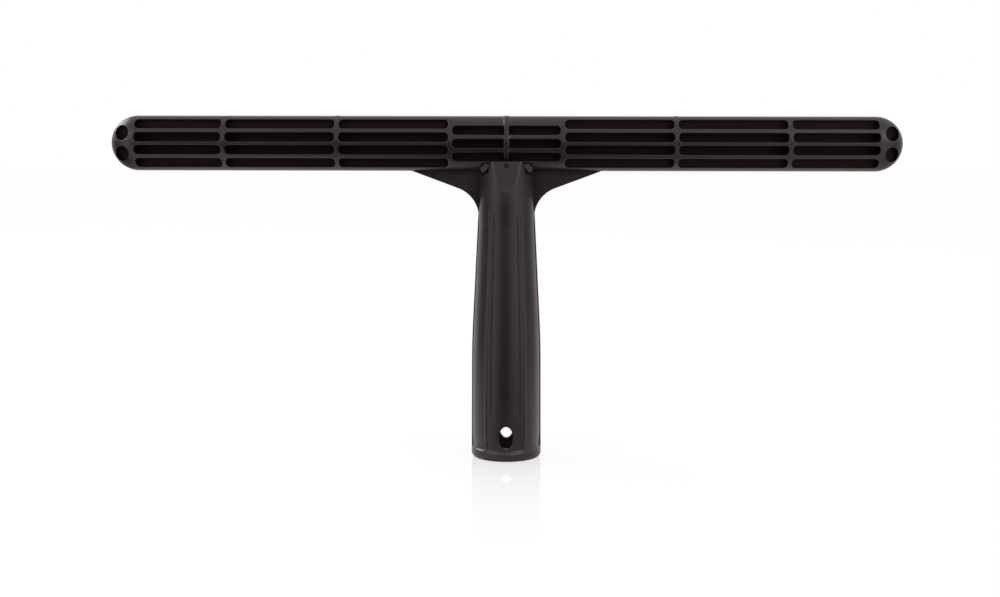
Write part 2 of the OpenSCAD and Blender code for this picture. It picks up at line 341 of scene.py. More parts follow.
# the wings' copy of the plastic: less sheen, and a paler colour that stands in for it as painted sheen, so that
# its painted shade can go darker
wingPlastic = blackPlastic("wingPlastic", {
    **plasticLook,
    "sheen": 0.25,
    "darkColour": (0.013, 0.0094, 0.0091),
    "lightColour": (0.0195, 0.0141, 0.0137),
    "paintedShadeColour": (0.23, 0.16, 0.13),
    "paintedShadeRoughness": 0.15,
    "speckScale": 400.0,
    "speckSize": 0.16,
    "speckStrength": 0.45,
    "wearAndHighlightScale": 700.0,
})
handlePlastic = blackPlastic("handlePlastic", {**plasticLook, "cloudScale": 45.0, "speckStrength": 0.2})
# the pockets' copy of the plastic, darker and less shiny: painted shade in the recesses
pocketPaintedShadePlastic = blackPlastic("pocketPaintedShadePlastic", {
    **plasticLook,
    "sheenTint": (1.0, 0.66, 0.6),
    "darkColour": (0.0014, 0.0008, 0.0008),
    "lightColour": (0.0026, 0.0016, 0.0015),
    "wornAndHighlightColour": (0.006, 0.004, 0.004),
    "sheen": 0.24,
    "roughness": 0.5,
    "speckStrength": 0.25,
})
# the bore's copy of the plastic, many times paler: painted light inside the hollow handle
hollowPaintedLightPlastic = blackPlastic("hollowPaintedLightPlastic", {
    **plasticLook,
    "darkColour": (0.1, 0.08, 0.074),
    "lightColour": (0.14, 0.115, 0.105),
    "roughness": 0.55,
    "speckStrength": 0.0,
})
pinPlastic = blackPlastic("pinPlastic", {
    **plasticLook,
    "darkColour": (0.005, 0.0045, 0.0046),
    "lightColour": (0.008, 0.007, 0.0072),
    "roughness": 0.5,
    "speckStrength": 0.0,
})
print("plastic ready")


# The bar: its oval section, its openings and the two half shells

bar = {
    "height": 24.2,
    "edgeRadius": 6.0,
    "postPitch": 49.8,
    "postWidth": 1.75,
    "postInward": 0.2,  # the posts stand this much nearer the middle than an even pitch
    "endSolid": 11.7,
    "middleSlotHeight": 4.1,
    "outerSlotHeight": 4.0,
    "middleRib": 1.45,
    "rowRib": 1.6,
    "centreSlotHeight": 3.95,
    "centreRib": 1.84,
    "slotCorner": 1.7,
    "dividerWidth": 2.2,
    "dividerCorner": 0.25,
    "endHole": 6.5,
    "endHolePitch": 9.05,
    "endHoleInset": 6.1,
    "bossRadius": 1.45,
    "pinHole": 0.67,
    "rimRadius": 0.24,  # rounding of the slots' front rims
    "pinRimRadius": 0.12,
    "draft": 0.1,  # pockets narrow by this much down to the plate
    "partingRadius": 0.15,
    "beadRise": 0.3,
    "beadSide": (1.0, 1.3),  # the divider's bead falls away between these distances from its middle
    "beadFoot": (-8.6, -8.2),  # and it starts between these heights
    "beadRough": 0.06,
    "beadGrain": (0.9, 3.1),  # scale of the bead's roughness, and a number that picks its pattern
    # the bar's outer edge is marked rubbed, which also paints a highlight along it
    "edgeWearAndHighlight": 0.5,
}
# spacing of the points that the bar's face is made of
barGrid = {
    "step": 1.2,  # along straight edges
    "shortStep": 0.6,
    "lattice": 0.8,
    "clear": 0.34,  # the lattice keeps this far from every rim
    "beadStep": 0.4,
    "beadRoom": 0.5,
    "beadColumns": [0.5, 1.0, 1.15, 1.3],
    "firstColumn": 1.6,  # from here on the edges have even steps
    "cornerSteps": 7,
    "bossSteps": 6,
    "endSteps": 48,
    "holeSteps": 40,
    "pinSteps": 20,
}
halfHeight = bar["height"] / 2
halfDepth = abs(shellLow.y) - bar["beadRise"]
barMid = plateHigh.z - halfHeight
underside = barMid - halfHeight
halfPlate = plateHigh.y
barHalfLength = plateHigh.x
endCentre = barHalfLength - halfHeight
edgeCentre = halfHeight - bar["edgeRadius"]
faceRadius = (halfDepth ** 2 + edgeCentre ** 2 - bar["edgeRadius"] ** 2) / (2 * (halfDepth - bar["edgeRadius"]))
joinDistance = edgeCentre * faceRadius / (faceRadius - bar["edgeRadius"])
neckTop = handleHigh.z
pinX = 1.5 * bar["postPitch"]


def barDepthAt(distance):
    # depth of the face at a distance from the bar's middle line
    onFace = np.sqrt(np.maximum(faceRadius ** 2 - distance ** 2, 0)) - (faceRadius - halfDepth)
    onEdge = np.sqrt(np.maximum(bar["edgeRadius"] ** 2 - (distance - edgeCentre) ** 2, 0))
    return np.where(distance < joinDistance, onFace, onEdge)


def facePoints(outline, sunk=0.0):
    # lifts a drawing onto the bar's front face, with the bead over the divider
    flat = np.array(outline, float)
    x, z = flat[:, 0], flat[:, 1]
    over = np.maximum(np.abs(x) - endCentre, 0)
    distance = np.hypot(over, z)
    depth = barDepthAt(distance)
    edgeSlope = (distance - edgeCentre) / bar["edgeRadius"]
    slope = np.clip(np.where(distance < joinDistance, distance / faceRadius, edgeSlope), -1, 1)
    bead = bar["beadRise"] * (1 - smoothStep(*bar["beadSide"], np.abs(x))) * smoothStep(*bar["beadFoot"], z)
    scale, pattern = bar["beadGrain"]
    rough = np.array([noise.noise(Vector((px * scale, pz * scale, pattern))) for px, pz in flat])
    bead = bead * (1 + bar["beadRough"] * rough / bar["beadRise"])
    depth = depth - sunk + bead * np.sqrt(1 - slope ** 2)
    z = z + bead * slope * np.sign(z)
    return np.column_stack([x, -depth, z + barMid])


def behindFace(outline, depth):
    # the same drawing, flat and at a depth in front of the bar's middle
    return [(x, -depth, z + barMid) for x, z in outline]


def arcPoints(centre, radius, start, end, count):
    turn = np.radians(np.linspace(start, end, count + 1))
    return [(centre[0] + radius * math.cos(a), centre[1] + radius * math.sin(a)) for a in turn]


def joinUp(arcs, counts):
    # closes arcs into one loop, with straight runs between them
    loop = []
    for k, arc in enumerate(arcs):
        loop += arc
        (x1, y1), (x2, y2) = arc[-1], arcs[(k + 1) % len(arcs)][0]
        for i in range(1, counts[k]):
            t = i / counts[k]
            loop.append((x1 + (x2 - x1) * t, y1 + (y2 - y1) * t))
    return loop


def slotOutline(slot, grow):
    left, right, middle, height = slot["left"], slot["right"], slot["middle"], slot["height"]
    leftCorner, rightCorner = slot["leftCorner"], bar["slotCorner"]
    arcs = []
    for x, inward, up, start, radius in (
        (right, -1, -1, -90, rightCorner),
        (right, -1, 1, 0, rightCorner),
        (left, 1, 1, 90, leftCorner),
        (left, 1, -1, 180, leftCorner),
    ):
        centre = (x + inward * radius, middle + up * (height / 2 - radius))
        arcs.append(arcPoints(centre, radius + grow, start, start + 90, barGrid["cornerSteps"]))
    run = max(2, round((right - left) / barGrid["step"]))
    rise = max(2, round((height - leftCorner - rightCorner) / barGrid["shortStep"]))
    if slot["boss"]:
        # the boss round the middle pin bulges into the slot
        radius = bar["bossRadius"] - grow
        half = math.degrees(math.acos(min(1, (left - grow) / radius)))
        bulge = arcPoints((0, 0), radius, half, -half, barGrid["bossSteps"])
        return joinUp([arcs[0], arcs[1], arcs[2], bulge, arcs[3]], [rise, run, 2, 2, run])
    return joinUp(arcs, [rise, run, rise, run])


def outlineOf(opening, grow):
    # an opening's outline, grown by an amount
    if "radius" in opening:
        outline = arcPoints(opening["centre"], opening["radius"] + grow, 0, 360, opening["steps"])[:-1]
    else:
        outline = slotOutline(opening, grow)
    return [(-x, z) for x, z in reversed(outline)] if opening["mirrored"] else outline


def slotAt(left, right, middle, height, leftCorner, boss=False):
    return {"left": left, "right": right, "middle": middle, "height": height, "leftCorner": leftCorner,
            "boss": boss, "rim": bar["rimRadius"], "draft": bar["draft"], "mirrored": False}


def endHoleAt(z):
    return {"centre": (barHalfLength - bar["endHoleInset"], z), "radius": bar["endHole"] / 2,
            "steps": barGrid["holeSteps"], "rim": bar["rimRadius"], "draft": bar["draft"], "mirrored": False}


def pinHoleAt(x):
    return {"centre": (x, 0), "radius": bar["pinHole"], "steps": barGrid["pinSteps"],
            "rim": bar["pinRimRadius"], "draft": 0.0, "mirrored": False}


def barOpenings():
    # the right half's openings, the same ones mirrored, and the middle pin's hole
    corner = bar["slotCorner"]
    halfPost = bar["postWidth"] / 2
    lastEnd = barHalfLength - bar["endSolid"]
    middleRow = (bar["middleRib"] + bar["middleSlotHeight"]) / 2
    outerRow = bar["middleRib"] / 2 + bar["middleSlotHeight"] + bar["rowRib"] + bar["outerSlotHeight"] / 2
    rows = [(middleRow, bar["middleSlotHeight"]), (outerRow, bar["outerSlotHeight"])]
    found = []
    for bay in (1, 2, 3):
        post = (bay - 0.5) * bar["postPitch"] - bar["postInward"]
        left = post + halfPost
        right = lastEnd if bay == 3 else post + bar["postPitch"] - halfPost
        for row, height in rows:
            found += [slotAt(left, right, side * row, height, corner) for side in (-1, 1)]
    right = bar["postPitch"] / 2 - bar["postInward"] - halfPost
    for row in (-1, 0, 1):
        middle = row * (bar["centreSlotHeight"] + bar["centreRib"])
        found.append(slotAt(bar["dividerWidth"] / 2, right, middle, bar["centreSlotHeight"],
                            bar["dividerCorner"], boss=row == 0))
    found += [endHoleAt(side * bar["endHolePitch"] / 2) for side in (-1, 1)]
    found.append(pinHoleAt(pinX))
    return found + [{**opening, "mirrored": True} for opening in found] + [pinHoleAt(0)]


def barEdge(distance):
    # one loop round the bar at a distance from its middle line
    run = list(np.linspace(barGrid["firstColumn"], endCentre, round(endCentre / barGrid["step"])))
    half = barGrid["beadColumns"] + run
    along = [-x for x in reversed(half)] + [0.0] + half
    loop = [(x, -distance) for x in along]
    loop += arcPoints((endCentre, 0), distance, -90, 90, barGrid["endSteps"])[1:-1]
    loop += [(x, distance) for x in reversed(along)]
    loop += arcPoints((-endCentre, 0), distance, 90, 270, barGrid["endSteps"])[1:-1]
    return loop


def latticePoints(openings):
    # evenly spread points over the solid parts of the face, clear of every rim
    spacing, clear = barGrid["lattice"], barGrid["clear"]
    beadIn, beadOut = bar["beadSide"]
    spots = []
    rowStep = spacing * math.sqrt(3) / 2
    for k in range(int(2 * joinDistance / rowStep) + 1):
        z = -joinDistance + k * rowStep
        shift = spacing / 2 * (k % 2)
        spots += [(x + shift, z) for x in np.arange(-barHalfLength, barHalfLength, spacing)]
    for x in (-beadOut, -beadIn, beadIn, beadOut):
        spots += [(x, z) for z in np.arange(-joinDistance, joinDistance, barGrid["beadStep"])]
    spots = np.array(spots)

    # along the bead's side only its own columns stay
    across = np.abs(spots[:, 0])
    keep = np.abs(across - (beadIn + beadOut) / 2) >= barGrid["beadRoom"]
    keep |= (np.abs(across - beadIn) <= 0.01) | (np.abs(across - beadOut) <= 0.01)
    keep &= np.hypot(np.maximum(across - endCentre, 0), spots[:, 1]) < joinDistance - clear
    for opening in openings:
        keep &= ~insideOutline(spots, outlineOf(opening, opening["rim"] + clear))
    return [tuple(p) for p in spots[keep]]


def halfShellShape(openings):
    shape = newShape()
    rims = [outlineOf(opening, opening["rim"]) for opening in openings]
    outer = barEdge(joinDistance)
    inner = latticePoints(openings)
    face = addRing(shape, facePoints(outer + [p for loop in rims for p in loop] + inner))
    shape["faces"] += [tuple(face[i] for i in f) for f in fillBetween(outer, rims, inner)]

    # pockets: a rounded rim, then a wall down to the core plate in the pockets' darker copy of the plastic,
    # painted shade
    floorLoops = []
    first = len(outer)
    for opening, loop in zip(openings, rims):
        ring = face[first:first + len(loop)]
        first += len(loop)
        # the rim is marked rubbed, which also paints a highlight along it
        for turn, wearAndHighlight in ((30, 1.0), (60, 1.0), (90, 0.3)):
            sunk, grown = roundedStep(opening["rim"], turn)
            ring = addBand(shape, ring, facePoints(outlineOf(opening, grown), sunk), wearAndHighlight)
        foot = outlineOf(opening, -opening["draft"])
        floorLoops.append(foot)
        addBand(shape, ring, behindFace(foot, halfPlate), deep=True)

    # outer edge: the small arc of the section down to the seam with the plate
    ring = face[:len(outer)]
    seam = math.asin((halfPlate + bar["partingRadius"]) / bar["edgeRadius"])
    join = math.acos((joinDistance - edgeCentre) / bar["edgeRadius"])
    for a in np.linspace(join, seam, 6)[1:]:
        edge = barEdge(edgeCentre + bar["edgeRadius"] * math.cos(a))
        ring = addBand(shape, ring, facePoints(edge), bar["edgeWearAndHighlight"])
    seamDistance = edgeCentre + bar["edgeRadius"] * math.cos(seam)
    for turn in (45, 90):
        inset, rise = roundedStep(bar["partingRadius"], turn)
        loop = barEdge(seamDistance - inset)
        ring = addBand(shape, ring, behindFace(loop, halfPlate + rise), bar["edgeWearAndHighlight"])
    seat = addRing(shape, behindFace(loop + [p for foot in floorLoops for p in foot], halfPlate))
    shape["faces"] += [tuple(seat[i] for i in f) for f in fillBetween(loop, floorLoops)]
    return shape


# The lugs beside the neck, and the notch that the neck fills

lug = {
    "radius": 1.65,
    "out": 2.65,
    "topOut": -0.5,  # the notch trims the inner side by this much
    "drop": 0.05,
    "hang": 0.65,
    "face": 6.7,
    "lean": 0.3,  # the nose stands back by this much for each millimetre up
    "noseRadius": 0.8,
    "root": 0.05,  # the lug starts this far in front of the plate
    # the lugs are marked rubbed, which also paints them paler as a highlight
    "wearAndHighlight": 0.7,
}
neck = {
    "topDepth": 9.5,
    "topHalf": 7.3,
    "flatDrop": 11.0,
    "flatLift": 0.04,  # the flat runs out in a soft curve
    "flatLiftDrop": 6.0,
    "edgeFade": (8.5, 5.0),
    "sideSlope": 0.2,
    "shoulderDrop": 0.65,
    "shoulderSlope": 2.0,
    "notchGap": 0.12,
    "forkGap": 0.05,
    "flatBlend": 0.32,
    "sideBlend": 0.6,
    "topRound": 0.3,
    # the neck's rounded top is marked rubbed, which also paints a highlight along it
    "topWearAndHighlight": 0.5,
    # painted shade on the neck's sides: how far round, between which heights, and how strong
    "paintedShadeAngle": (30.0, 52.0),
    "paintedShadeTop": (-3.0, 1.0),
    "paintedShadeFoot": (10.6, 12.8),
    "paintedShadeAmount": 0.8,
}
handleSize = {
    "shoulderDiameter": 30.8,
    "shoulderHeight": 52.5,
    "shoulderBlend": 9.0,
    "neckDiameter": 25.1,
    "neckDrop": 18.9,
    "footRound": 2.2,
    "socket": 24.0,
    "socketDepth": 50.0,
    "hollowTop": 17.0,
    "crown": 6.0,
    "leadIn": 0.4,
}
footRadius = handleHigh.x
shoulderRadius = handleSize["shoulderDiameter"] / 2
neckHeight = underside - handleSize["neckDrop"]
taperSlope = (shoulderRadius - handleSize["neckDiameter"] / 2) / (neckHeight - handleSize["shoulderHeight"])


def turnedRadius(z):
    # two straight tapers that run into each other at the shoulder
    low = footRadius + (shoulderRadius - footRadius) * z / handleSize["shoulderHeight"]
    high = shoulderRadius - (z - handleSize["shoulderHeight"]) * taperSlope
    blend = handleSize["shoulderBlend"] * taperSlope
    return smoothLeast(low, high, blend)


flatFoot = underside - neck["flatDrop"]
flatSlope = (float(turnedRadius(flatFoot)) - neck["topDepth"]) / (neckTop - flatFoot)


def sideHalf(z):
    # narrow between the lugs, then a shoulder out to the full round
    shoulder = np.maximum(underside - neck["shoulderDrop"] - z, 0) * neck["shoulderSlope"]
    return neck["topHalf"] + (neckTop - z) * neck["sideSlope"] + shoulder


def lugShape(end):
    inner = neck["topHalf"] + neck["notchGap"] + lug["topOut"]
    top = Vector((inner + lug["radius"], neckTop - lug["drop"] - lug["radius"]))
    foot = Vector((neck["topHalf"] + lug["out"], underside - lug["hang"] + lug["radius"]))
    lean = math.degrees(math.atan2(foot.y - top.y, foot.x - top.x))

    def outline(inset):
        radius = lug["radius"] - inset
        topEnd = arcPoints(top, radius, lean + 90, lean + 270, 14)
        footEnd = arcPoints(foot, radius, lean - 90, lean + 90, 14)
        return [(end * x, z) for x, z in joinUp([topEnd, footEnd], [4, 4])]

    shape = newShape()
    ring = addRing(shape, [(x, -halfPlate - lug["root"], z) for x, z in outline(0)])
    shape["faces"].append(tuple(ring))
    for turn in (0, 15, 30, 45, 60, 75, 90):
        inset, drop = roundedStep(lug["noseRadius"], turn)
        depth = lug["face"] - drop
        points = [(x, -depth + lug["lean"] * (z - foot.y), z) for x, z in outline(inset)]
        ring = addBand(shape, ring, points, lug["wearAndHighlight"])
    shape["faces"].append(tuple(reversed(ring)))
    return shape


def notchShape():
    # a little longer than the lugs, and well in front of them
    foot = underside - lug["hang"] - 0.02
    top = neckTop + 0.1
    topSide = sideHalf(top) + neck["notchGap"]
    footSide = sideHalf(foot) + neck["notchGap"]
    loop = [(-topSide, top), (-footSide, foot), (footSide, foot), (topSide, top)]
    return tubeShape([[(x, y, z) for x, z in loop] for y in (-halfDepth - 5, 0)])


def turned(shape, side):
    # the front's shape as it is, or mirrored to the back when the side is -1
    return {**shape, "points": [(x, side * y, z) for x, y, z in shape["points"]]}


shellShape = halfShellShape(barOpenings())
for name, node, side in (("bar_front", "front_shell", 1), ("bar_back", "back_shell", -1)):
    shell = makePiece(name, turned(shellShape, side), barPlastic, [node], pocketPaintedShadePlastic)
    for end in (-1, 1):
        cutOrJoin(shell, makePiece("lug", turned(lugShape(end), side), barPlastic), "UNION")
    cutOrJoin(shell, makePiece("notch", turned(notchShape(), side), barPlastic), "DIFFERENCE")
    print(name, "has", len(shell.data.polygons), "faces")


# The core plate with its two wings

plate = {
    "wingSlope": 20.4,
    "wingRadius": 14.0,
    "wingReach": 42.0,
    "rootBite": 0.25,
    "barRound": 0.15,
    "wingRound": 0.4,
    # the plate's edge is marked rubbed, which also paints a highlight along it
    "wearAndHighlight": 0.6,
    "edgeBand": 1.2,  # only this much of the plate's edge is rubbed
    "wingTop": 0.3,  # the wings' plastic ends this far above the bar's underside; above it the plate takes the pockets' darker copy, painted shade
    "nubHeight": 0.17,
    "nubWidth": 1.1,
    "shadeDepth": (0.6, 2.9),  # the band under the bar's lip that gets painted shade
    "shadeNearNeck": (11.0, 18.0),
    "grid": (0.9, 0.8),
    "gridClear": 0.35,
    "straightSteps": 16,
    "arcSteps": 26,
    "footSteps": 12,
}


def plateOutline():
    # from the right wing's tip round the bar to the left wing's tip, then along both wings
    reach, radius, steps = plate["wingReach"], plate["wingRadius"], plate["straightSteps"]
    slope = math.radians(plate["wingSlope"])
    arcX = handleSize["neckDiameter"] / 2 - plate["rootBite"] + radius
    arcZ = underside + ((arcX - reach) * math.sin(slope) - radius) / math.cos(slope)
    tangFoot = plateLow.z
    arcEnd = 180 - math.degrees(math.asin((tangFoot - arcZ) / radius))
    arc = arcPoints((arcX, arcZ), radius, 90 + plate["wingSlope"], arcEnd, plate["arcSteps"])
    startX, startZ = arc[0]
    right = [(reach, underside)]
    for i in range(1, steps):
        t = i / steps
        right.append((reach + (startX - reach) * t, underside + (startZ - underside) * t))
    right += arc
    bottom = np.linspace(right[-1][0], -right[-1][0], plate["footSteps"])[1:-1]
    wings = right + [(x, tangFoot) for x in bottom] + [(-x, z) for x, z in reversed(right)]
    loop = [(x, z + barMid) for x, z in barEdge(halfHeight) if z != -halfHeight or abs(x) > reach + 0.3]
    cut = next(i for i, (x, z) in enumerate(loop) if x > reach)
    nubbed = []
    for x, z in loop[cut:] + loop[:cut]:
        if z > barMid + halfHeight - 0.01:
            away = abs(abs(x) - pinX)
            z += plate["nubHeight"] * float(1 - smoothStep(plate["nubWidth"] * 0.3, plate["nubWidth"], away))
        nubbed.append((x, z))
    return nubbed, list(reversed(wings))


def insetLoop(loop, amounts):
    points = np.array(loop)
    along = np.roll(points, -1, axis=0) - np.roll(points, 1, axis=0)
    along /= np.linalg.norm(along, axis=1)[:, None]
    inward = np.column_stack([-along[:, 1], along[:, 0]])
    return points + inward * np.array(amounts)[:, None]


def wingPoints(outline):
    # evenly spread points over both wings
    reach = plate["wingReach"]
    stepX, stepZ = plate["grid"]
    x, z = np.meshgrid(np.arange(-reach, reach, stepX), np.arange(plateLow.z, underside, stepZ))
    spots = np.column_stack([x.ravel(), z.ravel()])
    shrunk = insetLoop(outline, [plate["wingRound"] + plate["gridClear"]] * len(outline))
    kept = spots[insideLoop(spots, shrunk)]
    return [tuple(p) for p in kept if abs(p[0]) > handleSize["neckDiameter"] / 4]


# painted shade on the wings: a band under the bar's lip and the part near the neck
def wingPaintedShade(x, z):
    under = 1 - smoothStep(*plate["shadeDepth"], underside - z)
    near = 1 - smoothStep(*plate["shadeNearNeck"], abs(x))
    return float(np.clip(max(under, near), 0, 1))


def corePlateShape():
    barPart, wingPart = plateOutline()
    loop = barPart + wingPart
    wingTop = underside + plate["wingTop"]
    onBar = np.array([1.0] * len(barPart) + [0.0] * len(wingPart))
    rounding = np.where(onBar > 0, plate["barRound"], plate["wingRound"])
    crown = halfHeight - edgeCentre - math.sqrt(bar["edgeRadius"] ** 2 - halfPlate ** 2)
    holes = [arcPoints((x, barMid), bar["pinHole"], 0, 360, barGrid["pinSteps"])[:-1] for x in (-pinX, 0, pinX)]

    # the rounded edge, from the front face over the middle to the back face
    rings = []
    for side, turns in ((-1, (90, 60, 30, 0)), (1, (0, 30, 60, 90))):
        for turn in turns:
            inset, drop = roundedStep(rounding, turn)
            flat = insetLoop(loop, inset + onBar * crown)
            rings.append(np.column_stack([flat[:, 0], side * (halfPlate - drop), flat[:, 1]]))
    flat = np.array(loop)
    rings.insert(4, np.column_stack([flat[:, 0], np.zeros(len(loop)), flat[:, 1]]))
    shape = newShape()
    made = [addRing(shape, ring, plate["wearAndHighlight"]) for ring in rings]
    for a, b in zip(made, made[1:]):
        bridge(shape, a, b)

    # both faces, with the part behind the slots in the pockets' darker copy of the plastic, painted shade
    for ring, side in ((rings[0], -1), (rings[-1], 1)):
        outer = [(p[0], p[2]) for p in ring]
        inner = [(x, wingTop) for x in np.linspace(-plate["wingReach"], plate["wingReach"], 60)]
        inner += wingPoints(outer)
        inner += [(x, z + barMid) for x, z in barEdge(halfHeight - plate["edgeBand"])]
        flat = outer + [p for hole in holes for p in hole] + inner
        face = addRing(shape, [(x, side * halfPlate, z) for x, z in flat])
        for index, (x, z) in zip(face, flat):
            if z < wingTop + 0.01:
                shape["shade"][index] = wingPaintedShade(x, z)
        for f in fillBetween(outer, holes, inner):
            if np.mean([flat[i][1] for i in f]) > wingTop:
                shape["deep"].add(len(shape["faces"]))
            shape["faces"].append(tuple(face[i] for i in f))
    for hole in holes:
        ends = [addRing(shape, [(x, side * halfPlate, z) for x, z in hole]) for side in (-1, 1)]
        bridge(shape, *ends)
    return shape


core = makePiece("bar_core", corePlateShape(), wingPlastic, ["core_plate"], pocketPaintedShadePlastic)
print("bar_core has", len(core.data.polygons), "faces")


# The handle: a turned tube with grip panels, an oval hole and a neck that narrows

grip = {
    "depth": 0.5,
    "collar": 3.9,
    "collarDip": 0.7,  # the front and back panels reach lower in their middle
    "ramp": 1.6,
    "ledge": 0.32,  # extra depth along the collar
    "ledgeTop": 12.0,
    "topDrop": 13.5,
    "fade": 12.0,
    "turn": -1.2,  # the panels sit turned a little on the neck
    "ridgeAngle": 35.5,
    "ridgeWidth": 1.0,
    "ridgeBlend": 0.45,
    "creaseAngle": 25.6,
    "creaseDepth": 0.22,
    "creaseBlend": 0.45,
    "creaseStart": (16.0, 26.0),
    "grooveWidth": 0.45,
    "grooveDepth": 0.12,
}
# columns of the handle's grid: degrees on either side of a ridge or crease, and the widest step
gripGrid = {
    "atRidge": (0.8, 1.4, 1.8, 2.2, 2.7, 3.2, 4.0),
    "atCrease": (0.4, 0.8, 1.2, 1.7, 2.3, 3.0),
    "frontStep": 1.2,
    "sideStep": 2.2,
    "frontHalf": 50,
}
hanging = {
    "width": 6.1,
    "height": 10.1,
    "middle": 10.8,
    "squareness": 2.05,  # 2 is an ellipse, more is fuller in the corners
    "rimRadius": 0.6,
    # the hole's rim is marked rubbed, which also paints a highlight round it
    "rimWearAndHighlight": 0.25,
    "blockAngle": 19.2,
    "blockTop": 18.0,
    "blockRoom": 0.3,
}
ridgeOffsets = [grip["ridgeAngle"], 90, 180 - grip["ridgeAngle"]]
ridgeAngles = np.array([side * a + grip["turn"] for side in (-1, 1) for a in ridgeOffsets])
ridgeAngles = np.concatenate([ridgeAngles, ridgeAngles + 360, ridgeAngles - 360])
hollowTop = plateLow.z - neck["forkGap"] - handleSize["crown"]


def gripRadius(turn, z):
    # outer radius at an angle from the front and a height; also how much of a ridge, edge or ledge it is, which
    # is painted paler as wear and highlight
    turn = np.asarray(turn, float)
    z = np.asarray(z, float)
    plain = turnedRadius(z)
    away = np.min(np.abs(turn[..., None] - ridgeAngles), axis=-1)
    arc = np.radians(away) * plain
    half = grip["ridgeWidth"] / 2
    panel = smoothStep(half - grip["ridgeBlend"] / 2, half + grip["ridgeBlend"] / 2, arc)

    # the panels start in a ledge above the collar and fade out towards the neck
    facing = np.abs((turn - grip["turn"] + 90) % 180 - 90)
    collar = grip["collar"] - grip["collarDip"] * np.clip(1 - (facing / grip["ridgeAngle"]) ** 2, 0, 1)
    rise = smoothStep(collar, collar + grip["ramp"], z)
    ledge = 4 * rise * (1 - rise) * panel
    deeper = 1 - smoothStep(collar + grip["ramp"], grip["ledgeTop"], z)
    rise = rise * (1 + grip["ledge"] / grip["depth"] * deeper)
    panelTop = underside - grip["topDrop"]
    fade = 1 - smoothStep(panelTop - grip["fade"], panelTop, z)

    # between two creases the front and back panels lie a little deeper
    inner = (grip["creaseAngle"] - facing) * np.pi / 180 * plain
    crease = smoothStep(-grip["creaseBlend"] / 2, grip["creaseBlend"] / 2, inner)
    groove = np.exp(-(inner / grip["grooveWidth"]) ** 2)
    sunk = (grip["creaseDepth"] * crease + grip["grooveDepth"] * groove) * smoothStep(*grip["creaseStart"], z)
    radius = plain - (grip["depth"] * panel + sunk) * rise * fade

    # the neck's flats in front and behind, and its narrow sides
    a = np.radians(turn)
    lift = neck["flatLift"] * np.maximum(underside - neck["flatLiftDrop"] - z, 0) ** 2
    flat = (neck["topDepth"] + (neckTop - z) * flatSlope + lift) / np.maximum(np.abs(np.cos(a)), 1e-3)
    side = sideHalf(z) / np.maximum(np.abs(np.sin(a)), 1e-3)
    sharp, soft = neck["flatBlend"], neck["sideBlend"]
    edge = np.maximum(1 - np.abs(radius - flat) / sharp, 1 - np.abs(np.minimum(radius, flat) - side) / sharp)
    edge = edge * (1 - smoothStep(neck["edgeFade"][1], neck["edgeFade"][0], underside - z))
    radius = smoothLeast(smoothLeast(radius, flat, sharp), side, soft)
    ridge = (1 - panel) * rise * fade
    return radius, np.clip(np.maximum(np.maximum(edge, ridge), ledge), 0, 1)


def hollowRadius(z):
    socket = handleSize["socket"] / 2
    if z < handleSize["leadIn"]:
        return socket + handleSize["leadIn"] - z
    if z < handleSize["socketDepth"]:
        return socket
    t = (z - handleSize["socketDepth"]) / (hollowTop - handleSize["socketDepth"])
    return socket + (handleSize["hollowTop"] / 2 - socket) * t


def neckPaintedShade(turn, z):
    # painted shade on the neck's sides between the wings
    facing = np.abs((np.asarray(turn, float) + 90) % 180 - 90)
    around = smoothStep(*neck["paintedShadeAngle"], facing)
    below = underside - z
    along = (1 - smoothStep(*neck["paintedShadeFoot"], below)) * smoothStep(*neck["paintedShadeTop"], below)
    return neck["paintedShadeAmount"] * around * along


def turnedPoints(turns, radius, z):
    # points round the handle's axis, at angles from the front
    a = np.radians(turns)
    return np.column_stack([radius * np.sin(a), -radius * np.cos(a), np.full(len(turns), z)])


def outerSkin(turns, z):
    radius, wearAndHighlight = gripRadius(turns, z)
    foot = handleSize["footRound"]
    if z < foot:
        radius = radius - foot * (1 - math.sqrt(1 - (1 - z / foot) ** 2))
    return turnedPoints(turns, radius, z), wearAndHighlight


def innerSkin(turns, z):
    return turnedPoints(turns, hollowRadius(z), z), 0.0


def skinRadius(skin, turn, z):
    x, y, _ = skin(np.array([turn]), z)[0][0]
    return float(np.hypot(x, y))


def onBothSides(middle, steps):
    return [middle] + [middle + side * step for side in (-1, 1) for step in steps]


def gripTurns():
    # angles of the grid's columns from -180 to 180, closer together at ridges and creases
    wanted = [-180, 0, 180]
    for side in (-1, 1):
        for ridge in ridgeOffsets:
            wanted += onBothSides(side * ridge + grip["turn"], gripGrid["atRidge"])
        for crease in (grip["creaseAngle"], 180 - grip["creaseAngle"]):
            wanted += onBothSides(side * crease + grip["turn"], gripGrid["atCrease"])
        wanted += [side * hanging["blockAngle"], side * (180 - hanging["blockAngle"])]
    wanted.sort()
    turns = []
    for low, high in zip(wanted, wanted[1:]):
        facing = abs(((low + high) / 2 + 90) % 180 - 90)
        most = gripGrid["frontStep"] if facing < gripGrid["frontHalf"] else gripGrid["sideStep"]
        count = max(1, math.ceil((high - low) / most - 1e-6))
        turns += [low + (high - low) * i / count for i in range(count)]
    return turns


def rowsOf(spans):
    return [z for low, high, step in spans for z in np.arange(low, high, step)]


